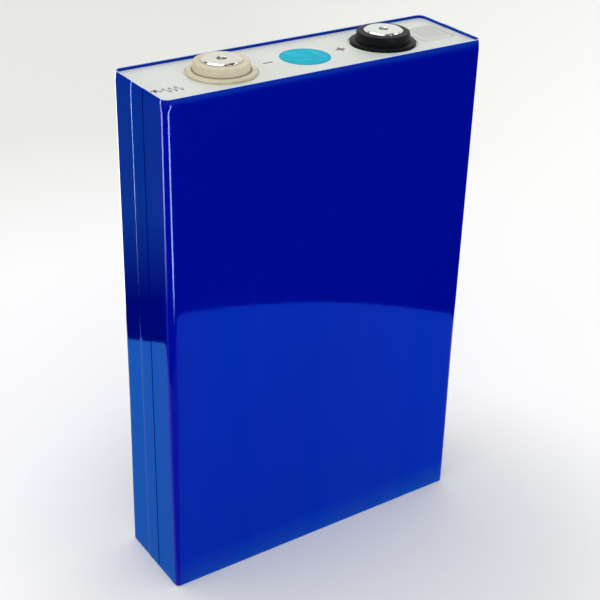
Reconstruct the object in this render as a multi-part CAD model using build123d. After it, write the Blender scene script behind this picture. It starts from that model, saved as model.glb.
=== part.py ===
from build123d import *

from math import sqrt
import os

# Prismatic lithium iron phosphate cell, 3.2 V, in a welded aluminium can with a blue insulating film.
# Units are millimetres. The origin is the centre of the base, +Z is up, +X runs along the wide face
# towards the positive terminal, and -Y is the front wide face.
# Every piece below is one function that returns its own solids, and is written to its own STEP file.

# ---- Driving dimensions --------------------------------------------------------------------------
CAN_WIDTH = 130.0  # along X, bare metal
CAN_DEPTH = 35.9  # along Y, bare metal
CAN_CORNER = 2.85  # outer radius of the four upright edges
CAN_WALL = 0.7
CAN_FLOOR = 1.2
LID_TOP = 195.0  # height of the lid's outer face above the base
LID_THICKNESS = 2.5
FILM = 0.15  # blue wrapping film
FILM_UPSTAND = 1.3  # how far the film stands above the lid
TERMINAL_X = 33.5  # each terminal's distance from the middle
TERMINAL_HEIGHT = 5.0  # top of the weld pad above the lid
FIT = 0.05  # clearance between neighbouring pieces

# ---- Wrapping film and the can's shoulder --------------------------------------------------------
SHOULDER_DROP = 2.2  # the can narrows from this far below the lid's face
SHOULDER_TAPER = 7.0  # degrees
FLAP_OVER_EDGE = -3.7  # Y of the outer flap's free edge on each narrow side
FLAP_UNDER_EDGE = 4.0  # Y of the inner flap's free edge, hidden below the outer flap
FLAP_RAMP = 0.6  # length over which the outer flap climbs on to the inner one
FLAP_FOOT = 1.2  # height of the flaps' lower end
BASE_FILLET = 0.8

# ---- Lid openings --------------------------------------------------------------------------------
COLLAR_SEAT_RADIUS = 12.65
COLLAR_SEAT_DEPTH = 0.4
POST_HOLE_RADIUS = 6.0
VENT_HOLE_RADIUS = 6.8
VENT_SEAT_RADIUS = 8.0
VENT_SEAT_DEPTH = 1.0
VENT_COVER_SEAT_DEPTH = 0.1
FILL_X = 54.0
FILL_HOLE_RADIUS = 1.5
FILL_CAP_SEAT_RADIUS = 3.5
FILL_CAP_SEAT_DEPTH = 0.8
FILL_CAP_ROOM = 0.3  # height of the hollow below the cap, for the plug's head
PLUG_HEAD_WIDER = 0.7  # the plug's head reaches this far past its hole
PLUG_HEAD_HEIGHT = 0.25
PLUG_TIP_TAPER = 0.3
PLUG_TIP_HEIGHT = 0.4

# ---- Terminals, heights measured from the lid's face ---------------------------------------------
FLANGE_RADIUS = 11.95
FLANGE_EDGE_HEIGHT = 0.8
FLANGE_TOP = 1.15
FLANGE_ROUNDING = 0.35
COLLAR_RADIUS = 9.7
COLLAR_TOP = 4.3
COLLAR_ROUNDING = 0.35
COLLAR_CREASE = 0.3  # rounding where the wall meets the flange
CUP_MOUTH_ROUNDING = 0.12
COLLAR_CUP_FLOOR = 1.1
COLLAR_NECK_FOOT = -1.5
PAD_RADIUS = 7.05
PAD_FACE_RADIUS = 6.25
PAD_CHAMFER_HEIGHT = 0.4
BORE_RADIUS = 1.7
BORE_DEPTH = 2.2
BORE_MOUTH = 0.15  # chamfer round the bore
POST_RADIUS = 4.0
POST_TIP = 2.15
POST_FLANGE_RADIUS = 8.0
POST_FLANGE_THICKNESS = 1.35
GASKET_ROUNDING = 0.25

# ---- Safety vent ---------------------------------------------------------------------------------
VENT_RIM_THICKNESS = 0.5
VENT_MEMBRANE = 0.25
VENT_SCORE_RADIUS = 5.4
VENT_SCORE_WIDTH = 0.3
VENT_SCORE_DEPTH = 0.12
VENT_SCORE_ARC = 300.0  # degrees; the unscored rest is where the burst petal hangs on
VENT_COVER_RADIUS = 9.0
VENT_COVER = 0.12

# ---- Code label ----------------------------------------------------------------------------------
LABEL_WIDTH = 14.0
LABEL_DEPTH = 14.2
LABEL_THICKNESS = 0.1
LABEL_CORNER = 0.5

# ---- Parts under the lid -------------------------------------------------------------------------
INSULATOR = 1.5
INSULATOR_SKIRT = 3.0
INSULATOR_SKIRT_WALL = 1.0
INSULATOR_SPLIT_X = 9.5
GRILLE_SLOTS = 5
GRILLE_SLOT_WIDTH = 1.6
GRILLE_PITCH = 2.8
PLATE_LENGTH = 44.0
PLATE_DEPTH = 24.0
PLATE_THICKNESS = 1.25
PLATE_CORNER = 3.0

# ---- Electrode rolls -----------------------------------------------------------------------------
BAG = 0.15
BAG_TOP = 188.0
FLOOR_PAD = 1.5
ROLL_WIDTH = 127.4
ROLL_OFFSET = 8.55  # each roll's centre from the middle, along Y
ROLL_FOOT = 3.2
ROLL_TOP = 181.0
ROLL_TURNS = 10
ROLL_CORE = 0.5  # half the hollow in the middle of the roll
WINDING_GAP = 0.02
CATHODE = 0.3
ANODE = 0.24
SEPARATOR = 0.05
CATHODE_SHORTER = 2.0  # the cathode stops this far short of the separator, at both ends
ANODE_SHORTER = 1.0

# ---- Foil tabs -----------------------------------------------------------------------------------
TAB_LENGTH = 36.0  # along X
FOIL = 0.12
TAB_GATHER_Y = -4.6  # where the front roll's foils come together
TAB_GATHER_HEIGHT = 185.2
TAB_WELD_END_Y = -11.2
WELD_TAPE = 0.1

# ---- Derived sizes -------------------------------------------------------------------------------
HALF_WIDTH = CAN_WIDTH / 2
HALF_DEPTH = CAN_DEPTH / 2
SHOULDER_Z = LID_TOP - SHOULDER_DROP
LID_UNDERSIDE = LID_TOP - LID_THICKNESS
CAN_FLOOR_TOP = FILM + CAN_FLOOR
INSIDE_WIDTH = CAN_WIDTH - 2 * CAN_WALL
INSIDE_DEPTH = CAN_DEPTH - 2 * CAN_WALL
INSIDE_CORNER = CAN_CORNER - CAN_WALL
INSULATOR_FOOT = LID_UNDERSIDE - INSULATOR
POST_FLANGE_TOP = INSULATOR_FOOT - FIT
PLATE_TOP = POST_FLANGE_TOP - POST_FLANGE_THICKNESS
PLATE_FOOT = PLATE_TOP - PLATE_THICKNESS
WINDING_PITCH = CATHODE + ANODE + 2 * SEPARATOR + 4 * WINDING_GAP
ROLL_THICKNESS = 2 * (ROLL_CORE + (ROLL_TURNS + 1) * WINDING_PITCH - WINDING_GAP)


# ---- Shared shapes -------------------------------------------------------------------------------
def upright_block(width, depth, corner, low, high):
    """A block with four rounded upright edges, centred on the Z axis."""
    outline = Pos(0, 0, low) * RectangleRounded(width, depth, corner)
    return extrude(outline, amount=high - low)


def shouldered_block(width, depth, corner, low, high):
    """An upright block that narrows above the can's shoulder."""
    straight = upright_block(width, depth, corner, low, SHOULDER_Z)
    outline = Pos(0, 0, SHOULDER_Z) * RectangleRounded(width, depth, corner)
    narrowing = extrude(outline, amount=high - SHOULDER_Z, taper=SHOULDER_TAPER)
    return straight + narrowing


def round_base(block, radius):
    """Rounds the edges round the underside of a block."""
    return fillet(block.edges().group_by(Axis.Z)[0], radius)


def disc(radius, low, high, x=0.0):
    """An upright cylinder between two heights."""
    return Pos(x, 0, (low + high) / 2) * Cylinder(radius, high - low)


def ring(outer, inner, low, high, x=0.0):
    return disc(outer, low, high, x) - disc(inner, low, high, x)


def turned(outline, x, roundings=()):
    """Revolves a closed outline of (radius, height) points about the upright axis at x.
    Each rounding is (radius, height, rounding radius) and names a corner of the outline."""
    profile = make_face(Polyline(*outline, close=True))
    for corner_radius, corner_height, rounding in roundings:
        near = [
            v
            for v in profile.vertices()
            if abs(v.X - corner_radius) < 1e-6 and abs(v.Y - corner_height) < 1e-6
        ]
        profile = fillet(near, rounding)
    return Pos(x, 0, 0) * revolve(Plane.XZ * profile, Axis.Z)


# ---- Outside: can, lid, film and label -----------------------------------------------------------
def can():
    """The deep-drawn can: rounded base, thin walls and a slightly narrower mouth."""
    outside = round_base(shouldered_block(CAN_WIDTH, CAN_DEPTH, CAN_CORNER, FILM, LID_TOP), BASE_FILLET)
    inside = upright_block(INSIDE_WIDTH, INSIDE_DEPTH, INSIDE_CORNER, CAN_FLOOR_TOP, LID_TOP)
    return outside - round_base(inside, BASE_FILLET)


def insulation_film():
    """One sheet folded under the base and up both wide faces. Its side flaps overlap along the middle of
    each narrow side, and its free edge stands above the lid, leaning in with the can's shoulder."""
    top = LID_TOP + FILM_UPSTAND
    sheet = round_base(
        shouldered_block(CAN_WIDTH + 2 * FILM, CAN_DEPTH + 2 * FILM, CAN_CORNER + FILM, 0, top),
        BASE_FILLET + FILM,
    )
    flap_middle = (FLAP_OVER_EDGE + FLAP_UNDER_EDGE + FLAP_RAMP) / 2
    flap_depth = FLAP_UNDER_EDGE + FLAP_RAMP - FLAP_OVER_EDGE
    flaps = Pos(0, flap_middle, 0) * Rectangle(CAN_WIDTH + 4 * FILM, flap_depth)
    sheet += extrude(Pos(0, 0, FLAP_FOOT) * flaps, amount=SHOULDER_Z - FLAP_FOOT)
    sheet += extrude(Pos(0, 0, SHOULDER_Z) * flaps, amount=top - SHOULDER_Z, taper=SHOULDER_TAPER)
    hollow = round_base(shouldered_block(CAN_WIDTH, CAN_DEPTH, CAN_CORNER, FILM, top), BASE_FILLET)
    return sheet - hollow


def lid_plate():
    """The cover plate, with seats for both collars, the vent, the vent's cover and the filling port."""
    plate = upright_block(
        INSIDE_WIDTH - 2 * FIT, INSIDE_DEPTH - 2 * FIT, INSIDE_CORNER - FIT, LID_UNDERSIDE, LID_TOP
    )
    for x in (-TERMINAL_X, TERMINAL_X):
        plate -= disc(COLLAR_SEAT_RADIUS, LID_TOP - COLLAR_SEAT_DEPTH, LID_TOP, x)
        plate -= disc(POST_HOLE_RADIUS, LID_UNDERSIDE, LID_TOP, x)
    plate -= disc(VENT_COVER_RADIUS + FIT, LID_TOP - VENT_COVER_SEAT_DEPTH, LID_TOP)
    plate -= disc(VENT_SEAT_RADIUS, LID_TOP - VENT_SEAT_DEPTH, LID_TOP)
    plate -= disc(VENT_HOLE_RADIUS, LID_UNDERSIDE, LID_TOP)
    plate -= disc(FILL_CAP_SEAT_RADIUS, LID_TOP - FILL_CAP_SEAT_DEPTH, LID_TOP, FILL_X)
    plate -= disc(FILL_HOLE_RADIUS, LID_UNDERSIDE, LID_TOP, FILL_X)
    return plate


def code_label():
    """A blank square label stuck over the filling port's cap."""
    outline = Pos(FILL_X, 0, LID_TOP) * RectangleRounded(LABEL_WIDTH, LABEL_DEPTH, LABEL_CORNER)
    return extrude(outline, amount=LABEL_THICKNESS)


# ---- Vent and filling port -----------------------------------------------------------------------
def vent_disc():
    """The burst disc: a rim, a thin membrane and a scored arc."""
    foot = LID_TOP - VENT_SEAT_DEPTH
    rim_radius = VENT_SEAT_RADIUS - FIT
    plate = turned(
        [
            (0, foot),
            (rim_radius, foot),
            (rim_radius, foot + VENT_RIM_THICKNESS),
            (VENT_HOLE_RADIUS, foot + VENT_RIM_THICKNESS),
            (VENT_HOLE_RADIUS, foot + VENT_MEMBRANE),
            (0, foot + VENT_MEMBRANE),
        ],
        0,
    )
    groove = Rectangle(VENT_SCORE_WIDTH, 2 * VENT_SCORE_DEPTH)
    groove = Plane.XZ * (Pos(VENT_SCORE_RADIUS, foot + VENT_MEMBRANE) * groove)
    return plate - revolve(groove, Axis.Z, revolution_arc=VENT_SCORE_ARC)


def vent_cover():
    """The coloured film disc stuck over the vent."""
    foot = LID_TOP - VENT_COVER_SEAT_DEPTH
    return disc(VENT_COVER_RADIUS, foot, foot + VENT_COVER)


def fill_port_plug():
    """The elastomer plug pushed into the filling hole, with a small head below its cap."""
    seat = LID_TOP - FILL_CAP_SEAT_DEPTH
    stem_radius = FILL_HOLE_RADIUS - FIT / 2
    head_radius = FILL_HOLE_RADIUS + PLUG_HEAD_WIDER
    tip = LID_UNDERSIDE - PLUG_TIP_HEIGHT
    return turned(
        [
            (0, tip),
            (stem_radius - PLUG_TIP_TAPER, tip),
            (stem_radius, LID_UNDERSIDE),
            (stem_radius, seat),
            (head_radius, seat),
            (head_radius, seat + PLUG_HEAD_HEIGHT),
            (0, seat + PLUG_HEAD_HEIGHT),
        ],
        FILL_X,
    )


def fill_port_cap():
    """The aluminium cap welded over the plug, level with the lid."""
    seat = LID_TOP - FILL_CAP_SEAT_DEPTH
    hollow_radius = FILL_HOLE_RADIUS + PLUG_HEAD_WIDER + 2 * FIT
    cap = disc(FILL_CAP_SEAT_RADIUS - FIT, seat, LID_TOP, FILL_X)
    return cap - disc(hollow_radius, seat, seat + FILL_CAP_ROOM, FILL_X)


# ---- Terminals -----------------------------------------------------------------------------------
def collar(x):
    """The moulded insulator round a terminal: a sloped flange in the lid's seat, an upright wall, a cup
    for the weld pad and a neck that lines the lid's hole."""
    low = LID_TOP - COLLAR_SEAT_DEPTH
    cup_radius = PAD_RADIUS + FIT
    neck_radius = POST_HOLE_RADIUS - FIT
    bore = POST_RADIUS + FIT
    outline = [
        (bore, LID_TOP + COLLAR_NECK_FOOT),
        (neck_radius, LID_TOP + COLLAR_NECK_FOOT),
        (neck_radius, low),
        (FLANGE_RADIUS, low),
        (FLANGE_RADIUS, LID_TOP + FLANGE_EDGE_HEIGHT),
        (COLLAR_RADIUS, LID_TOP + FLANGE_TOP),
        (COLLAR_RADIUS, LID_TOP + COLLAR_TOP),
        (cup_radius, LID_TOP + COLLAR_TOP),
        (cup_radius, LID_TOP + COLLAR_CUP_FLOOR),
        (bore, LID_TOP + COLLAR_CUP_FLOOR),
    ]
    roundings = (
        (FLANGE_RADIUS, LID_TOP + FLANGE_EDGE_HEIGHT, FLANGE_ROUNDING),
        (COLLAR_RADIUS, LID_TOP + FLANGE_TOP, COLLAR_CREASE),
        (COLLAR_RADIUS, LID_TOP + COLLAR_TOP, COLLAR_ROUNDING),
        (cup_radius, LID_TOP + COLLAR_TOP, CUP_MOUTH_ROUNDING),
    )
    return turned(outline, x, roundings)


def terminal_pad(x):
    """The aluminium pad that a busbar is welded to, with a chamfered rim and a blind locating bore."""
    top = LID_TOP + TERMINAL_HEIGHT
    foot = LID_TOP + COLLAR_CUP_FLOOR + FIT
    pad = turned(
        [
            (0, foot),
            (PAD_RADIUS, foot),
            (PAD_RADIUS, top - PAD_CHAMFER_HEIGHT),
            (PAD_FACE_RADIUS, top),
            (0, top),
        ],
        x,
    )
    bore = turned(
        [
            (0, top - BORE_DEPTH),
            (BORE_RADIUS, top - BORE_DEPTH),
            (BORE_RADIUS, top - BORE_MOUTH),
            (BORE_RADIUS + BORE_MOUTH, top),
            (0, top),
        ],
        x,
    )
    socket = disc(POST_RADIUS + FIT / 2, foot, LID_TOP + POST_TIP + FIT, x)
    return pad - bore - socket


def terminal_post(x):
    """The post: a flange below the lid's insulator, a shaft up into the pad and a rivet end below."""
    post = disc(POST_RADIUS, PLATE_FOOT, LID_TOP + POST_TIP, x)
    return post + disc(POST_FLANGE_RADIUS, PLATE_TOP, POST_FLANGE_TOP, x)


def seal_gasket(x):
    """The fluoro-rubber sleeve squeezed between the post, the lid and the collar's neck."""
    outer = POST_HOLE_RADIUS - FIT
    high = LID_TOP + COLLAR_NECK_FOOT - FIT
    sleeve = ring(outer, POST_RADIUS + FIT / 2, INSULATOR_FOOT, high, x)
    return fillet(sleeve.edges(), GASKET_ROUNDING)


# ---- Under the lid -------------------------------------------------------------------------------
def lower_insulator(side):
    """Half of the white plate below the lid, with a skirt on its three outer sides. side is -1 for the
    negative half, which also carries the grille below the vent, and +1 for the positive half."""
    width = INSIDE_WIDTH - 2 * BAG - 4 * FIT
    depth = INSIDE_DEPTH - 2 * BAG - 4 * FIT
    corner = INSIDE_CORNER - BAG - FIT
    wall = INSULATOR_SKIRT_WALL
    top = LID_UNDERSIDE - FIT
    skirt_foot = INSULATOR_FOOT - INSULATOR_SKIRT
    whole = upright_block(width, depth, corner, skirt_foot, top)
    inside_corner = corner - wall / 2
    whole -= upright_block(width - 2 * wall, depth - 2 * wall, inside_corner, skirt_foot, INSULATOR_FOOT)
    split = INSULATOR_SPLIT_X + side * FIT
    reach = width  # longer than the half plate
    half = Pos(split + side * reach / 2, 0, LID_UNDERSIDE) * Box(reach, 2 * depth, 4 * INSULATOR_SKIRT)
    insulator = whole & half
    insulator -= disc(POST_HOLE_RADIUS, INSULATOR_FOOT, top, side * TERMINAL_X)
    if side > 0:
        plug_clearance = 0.5
        return insulator - disc(FILL_HOLE_RADIUS + plug_clearance, INSULATOR_FOOT, top, FILL_X)
    return insulator - vent_grille()


def vent_grille():
    """The slots below the vent, each as long as the vent's round hole is at that place."""
    slots = []
    for index in range(GRILLE_SLOTS):
        x = (index - (GRILLE_SLOTS - 1) / 2) * GRILLE_PITCH
        chord = 2 * sqrt(VENT_HOLE_RADIUS**2 - x**2)
        length = chord - GRILLE_SLOT_WIDTH / 2
        slot = SlotOverall(length, GRILLE_SLOT_WIDTH, rotation=90)
        slots.append(extrude(Pos(x, 0, INSULATOR_FOOT) * slot, amount=INSULATOR))
    return slots


def connector_plate(x):
    """The plate riveted to a post's lower end. The foil tabs are welded to its underside."""
    outline = Pos(x, 0, PLATE_FOOT) * RectangleRounded(PLATE_LENGTH, PLATE_DEPTH, PLATE_CORNER)
    plate = extrude(outline, amount=PLATE_THICKNESS)
    return plate - disc(POST_RADIUS + FIT / 2, PLATE_FOOT, PLATE_TOP, x)


# ---- Electrode rolls -----------------------------------------------------------------------------
def roll_end():
    """Distance of each rounded end's centre from the middle of a roll."""
    return (ROLL_WIDTH - ROLL_THICKNESS) / 2


def winding_path(start_radius):
    """The edges of a flattened spiral, from the inside out. Both rounded ends have fixed centres, half a
    pitch apart, so that each full turn grows by one pitch."""
    end = roll_end()
    edges = []
    for turn in range(ROLL_TURNS):
        radius = start_radius + turn * WINDING_PITCH
        grown = radius + WINDING_PITCH
        edges.append(Line((end, radius), (-end, radius)))
        edges.append(CenterArc((-end, -WINDING_PITCH / 2), (radius + grown) / 2, 90, 180))
        edges.append(Line((-end, -grown), (end, -grown)))
        edges.append(CenterArc((end, 0), grown, -90, 180))
    return edges


def wound_sheet(middle_radius, thickness, shorter):
    """One sheet of a roll, wound round the upright axis through the roll's centre."""
    inner = middle_radius - thickness / 2
    outer = middle_radius + thickness / 2
    growth = ROLL_TURNS * WINDING_PITCH
    end = roll_end()
    first_edge = Line((end, inner), (end, outer))
    last_edge = Line((end, inner + growth), (end, outer + growth))
    outline = winding_path(inner) + winding_path(outer) + [first_edge, last_edge]
    section = Pos(0, 0, ROLL_FOOT + shorter) * make_face(outline)
    return extrude(section, amount=ROLL_TOP - ROLL_FOOT - 2 * shorter)


def sheet_radii():
    """The first middle radius of the cathode, the anode and the two separators."""
    cathode = ROLL_CORE + CATHODE / 2
    first_separator = cathode + CATHODE / 2 + WINDING_GAP + SEPARATOR / 2
    anode = first_separator + SEPARATOR / 2 + WINDING_GAP + ANODE / 2
    second_separator = anode + ANODE / 2 + WINDING_GAP + SEPARATOR / 2
    return cathode, anode, (first_separator, second_separator)


def in_front(roll):
    return Pos(0, -ROLL_OFFSET, 0) * roll


def in_back(roll):
    """The back roll is the front one turned half round, so both are wound towards the middle."""
    return Pos(0, ROLL_OFFSET, 0) * Rot(0, 0, 180) * roll


def roll_cathode():
    return wound_sheet(sheet_radii()[0], CATHODE, CATHODE_SHORTER)


def roll_anode():
    return wound_sheet(sheet_radii()[1], ANODE, ANODE_SHORTER)


def roll_separators():
    return [wound_sheet(radius, SEPARATOR, 0) for radius in sheet_radii()[2]]


def foil_tabs(x, first_radius, shorter):
    """The foils that rise from every turn of both rolls, come together, and lie flat below a connector
    plate. Returns the front roll's bundle and the back roll's, which is its mirror image."""
    foil_foot = ROLL_TOP - shorter
    rise = 0.3
    clear_of_roll = ROLL_TOP + rise
    bundle = Sketch()
    for turn in range(ROLL_TURNS):
        rise_y = -ROLL_OFFSET + first_radius + turn * WINDING_PITCH
        gather_y = TAB_GATHER_Y + (turn - (ROLL_TURNS - 1) / 2) * FOIL
        path = [
            (rise_y, foil_foot),
            (rise_y, clear_of_roll),
            (gather_y, TAB_GATHER_HEIGHT),
            (gather_y, PLATE_FOOT - FIT),
        ]
        near = [(y - FOIL / 2, z) for y, z in path]
        far = [(y + FOIL / 2, z) for y, z in reversed(path)]
        bundle += make_face(Polyline(*near, *far, close=True))
    stack = ROLL_TURNS * FOIL
    weld_top = PLATE_FOOT - FIT / 2
    weld_middle_y = (TAB_GATHER_Y + stack / 2 + TAB_WELD_END_Y) / 2
    weld_depth = TAB_GATHER_Y + stack / 2 - TAB_WELD_END_Y
    bundle += Pos(weld_middle_y, weld_top - stack / 2) * Rectangle(weld_depth, stack)
    front = Pos(x - TAB_LENGTH / 2, 0, 0) * extrude(Plane.YZ * bundle, amount=TAB_LENGTH)
    return [front, mirror(front, Plane.XZ)]


def weld_cover_tapes():
    """Tape over the four welds between the foil tabs and the connector plates."""
    stack = ROLL_TURNS * FOIL
    top = PLATE_FOOT - FIT / 2 - stack
    outer = TAB_WELD_END_Y
    inner = TAB_GATHER_Y - stack / 2 - FIT
    tape_shorter = 4.0  # than the weld below it
    length = TAB_LENGTH - tape_shorter
    tapes = []
    for x in (-TERMINAL_X, TERMINAL_X):
        for side in (1, -1):
            middle = Pos(x, side * (outer + inner) / 2, top - WELD_TAPE / 2)
            tapes.append(middle * Box(length, inner - outer, WELD_TAPE))
    return tapes


def inner_bag():
    """The film bag between the rolls and the can, open at the top."""
    width = INSIDE_WIDTH - 2 * FIT
    depth = INSIDE_DEPTH - 2 * FIT
    foot = CAN_FLOOR_TOP + FIT
    outside = upright_block(width, depth, INSIDE_CORNER - FIT, foot, BAG_TOP)
    hollow = upright_block(width - 2 * BAG, depth - 2 * BAG, INSIDE_CORNER - FIT - BAG, foot + BAG, BAG_TOP)
    return round_base(outside, BASE_FILLET) - round_base(hollow, BASE_FILLET - BAG)


def floor_pad():
    """The perforated plate that the rolls stand on."""
    low = CAN_FLOOR_TOP + FIT + BAG + FIT
    margin = 2.0
    pad = upright_block(INSIDE_WIDTH - margin, INSIDE_DEPTH - margin, INSIDE_CORNER, low, low + FLOOR_PAD)
    hole_radius = 2.0
    pitch_x, pitch_y = 12.0, 10.0
    along, across = 10, 3
    holes = GridLocations(pitch_x, pitch_y, along, across)
    return pad - [place * disc(hole_radius, low, low + FLOOR_PAD) for place in holes]


# ---- Write every piece ---------------------------------------------------------------------------
def pieces():
    """Each piece's name and its solids."""
    cathode_radius, anode_radius, _ = sheet_radii()
    cathode, anode, separators = roll_cathode(), roll_anode(), roll_separators()
    return {
        "can": can(),
        "lid_plate": lid_plate(),
        "insulation_film": insulation_film(),
        "code_label": code_label(),
        "vent_disc": vent_disc(),
        "vent_cover": vent_cover(),
        "fill_port_plug": fill_port_plug(),
        "fill_port_cap": fill_port_cap(),
        "negative_collar": collar(-TERMINAL_X),
        "positive_collar": collar(TERMINAL_X),
        "negative_terminal_pad": terminal_pad(-TERMINAL_X),
        "positive_terminal_pad": terminal_pad(TERMINAL_X),
        "negative_post": terminal_post(-TERMINAL_X),
        "positive_post": terminal_post(TERMINAL_X),
        "negative_seal_gasket": seal_gasket(-TERMINAL_X),
        "positive_seal_gasket": seal_gasket(TERMINAL_X),
        "negative_lower_insulator": lower_insulator(-1),
        "positive_lower_insulator": lower_insulator(1),
        "negative_connector_plate": connector_plate(-TERMINAL_X),
        "positive_connector_plate": connector_plate(TERMINAL_X),
        "negative_foil_tabs": foil_tabs(-TERMINAL_X, anode_radius, ANODE_SHORTER),
        "positive_foil_tabs": foil_tabs(TERMINAL_X, cathode_radius, CATHODE_SHORTER),
        "weld_cover_tapes": weld_cover_tapes(),
        "front_roll_cathode": in_front(cathode),
        "front_roll_anode": in_front(anode),
        "front_roll_separators": [in_front(sheet) for sheet in separators],
        "back_roll_cathode": in_back(cathode),
        "back_roll_anode": in_back(anode),
        "back_roll_separators": [in_back(sheet) for sheet in separators],
        "inner_bag": inner_bag(),
        "floor_pad": floor_pad(),
    }


os.makedirs("parts", exist_ok=True)
for name, shape in pieces().items():
    solids = shape if isinstance(shape, list) else [shape]
    export_step(Compound(children=[s for piece in solids for s in piece.solids()]), f"parts/{name}.step")
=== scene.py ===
import math

import bpy
from mathutils import Matrix, Vector, noise


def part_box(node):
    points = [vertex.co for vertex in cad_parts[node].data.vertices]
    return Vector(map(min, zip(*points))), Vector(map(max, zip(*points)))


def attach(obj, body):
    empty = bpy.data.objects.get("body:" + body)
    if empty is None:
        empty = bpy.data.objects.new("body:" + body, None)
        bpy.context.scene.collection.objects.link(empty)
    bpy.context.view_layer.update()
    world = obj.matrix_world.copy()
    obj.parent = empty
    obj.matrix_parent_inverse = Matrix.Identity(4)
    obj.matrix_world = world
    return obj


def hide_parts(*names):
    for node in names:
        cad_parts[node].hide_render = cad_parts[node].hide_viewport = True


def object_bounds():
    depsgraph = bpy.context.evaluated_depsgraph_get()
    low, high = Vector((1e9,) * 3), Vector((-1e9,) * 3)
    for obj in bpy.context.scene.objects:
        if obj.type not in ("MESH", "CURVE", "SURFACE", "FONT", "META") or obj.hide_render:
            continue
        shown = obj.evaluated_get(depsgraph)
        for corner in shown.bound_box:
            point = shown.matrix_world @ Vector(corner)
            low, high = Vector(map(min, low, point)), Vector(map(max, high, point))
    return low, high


# Looks for the prismatic battery cell: blue film wrap, matt lid, moulded collars, turned weld pads,
# creased vent cover, and procedural materials for every piece, inside and out. Lengths are in metres.

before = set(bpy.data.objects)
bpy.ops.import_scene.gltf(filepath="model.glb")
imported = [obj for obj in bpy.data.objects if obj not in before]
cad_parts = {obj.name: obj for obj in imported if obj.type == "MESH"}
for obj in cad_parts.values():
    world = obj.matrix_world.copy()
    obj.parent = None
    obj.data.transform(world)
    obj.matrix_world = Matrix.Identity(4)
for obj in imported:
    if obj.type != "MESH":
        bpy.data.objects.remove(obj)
cad_low, cad_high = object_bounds()

MM = 0.001
TINY = 0.001 * MM
BODY = "root"

# ---- Sizes read from the CAD parts ---------------------------------------
_, film_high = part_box("insulation_film")
_, can_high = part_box("can")
_, lid_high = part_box("lid_plate")
label_low, label_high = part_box("code_label")
_, vent_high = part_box("vent_cover")

FILM = film_high.y - can_high.y  # thickness of the wrapping film
FILM_TOP = film_high.z
LID_Z = lid_high.z
MIDDLE = (cad_low + cad_high) / 2

CORNER = 3.0 * MM  # outer radius of the film's upright corners
FLAP_OVER_EDGE = -3.7 * MM  # the upper side flap ends here, along y
FLAP_UNDER_EDGE = 4.0 * MM  # the lower side flap ends here, beneath the upper one
SEAM_WIDTH = 0.08 * MM  # the gap beside the upper flap's edge

PAD_FACE_RADIUS = 6.25 * MM  # each weld pad's flat face, inside its chamfered rim
BORE_RADIUS = 1.7 * MM  # the blind hole in its middle
BORE_DEPTH = 2.2 * MM
BORE_MOUTH = 0.2 * MM  # width of the chamfer at its mouth

CAMERA_AZIMUTH = math.radians(-34.278)
CAMERA_ELEVATION = math.radians(28.74)
CAMERA_ROLL = math.radians(1.539)
CAMERA_DISTANCE = 495.26 * MM
CAMERA_ASIDE, CAMERA_ABOVE = 0.496 * MM, -0.952 * MM
CAMERA_SENSOR, CAMERA_LENS = 36.0, 77.93  # in millimetres, as Blender has them


# ---- Mesh helpers --------------------------------------------------------
def middle_x(node):
    """Where a node's upright axis stands, along x."""
    low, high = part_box(node)
    return (low.x + high.x) / 2


def add_mesh(name, points, faces, sharp_angle=40):
    """A smooth-shaded mesh object whose edges stay crisp above sharp_angle degrees."""
    mesh = bpy.data.meshes.new(name)
    mesh.from_pydata(points, [], faces)
    mesh.validate()
    mesh.shade_smooth()
    mesh.set_sharp_from_angle(angle=math.radians(sharp_angle))
    thing = bpy.data.objects.new(name, mesh)
    bpy.context.scene.collection.objects.link(thing)
    return thing


def add_piece(name, points, faces, look, stands_for=(), sharp_angle=40):
    """A piece of the cell, riding on its one body."""
    piece = add_mesh(name, points, faces, sharp_angle)
    piece.data.materials.append(look)
    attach(piece, BODY)
    if stands_for:
        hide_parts(*stands_for)
    return piece


def grid_faces(rows, columns, closed):
    """Quads between rows of points, wrapping from the last column to the first when closed."""
    steps = columns if closed else columns - 1
    faces = []
    for row in range(rows - 1):
        for column in range(steps):
            here = row * columns + column
            beside = row * columns + (column + 1) % columns
            faces.append((here, beside, beside + columns, here + columns))
    return faces


def flipped(faces):
    """The same faces turned to face the other way."""
    return [tuple(reversed(face)) for face in faces]


def smoothstep(value):
    """A smooth rise from 0 to 1 as value goes from 0 to 1."""
    value = min(1.0, max(0.0, value))
    return value * value * (3 - 2 * value)


def rounded_rectangle(half_x, half_y, radius, step, corner_steps=14):
    """Samples of a rounded rectangle, anticlockwise seen from above, each as
    (corner-centre x, corner-centre y, outward x, outward y)."""
    inner_x, inner_y = half_x - radius, half_y - radius
    corners = (
        (inner_x, -inner_y, -90),
        (inner_x, inner_y, 0),
        (-inner_x, inner_y, 90),
        (-inner_x, -inner_y, 180),
    )
    samples = []
    for index, (x, y, start) in enumerate(corners):
        for turn in range(corner_steps + 1):
            angle = math.radians(start + 90 * turn / corner_steps)
            samples.append((x, y, math.cos(angle), math.sin(angle)))
        next_x, next_y, _ = corners[(index + 1) % 4]
        count = max(2, round(math.hypot(next_x - x, next_y - y) / step))
        outward = math.radians(start + 90)
        for part in range(1, count):
            place_x = x + (next_x - x) * part / count
            place_y = y + (next_y - y) * part / count
            samples.append((place_x, place_y, math.cos(outward), math.sin(outward)))
    return samples


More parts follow.
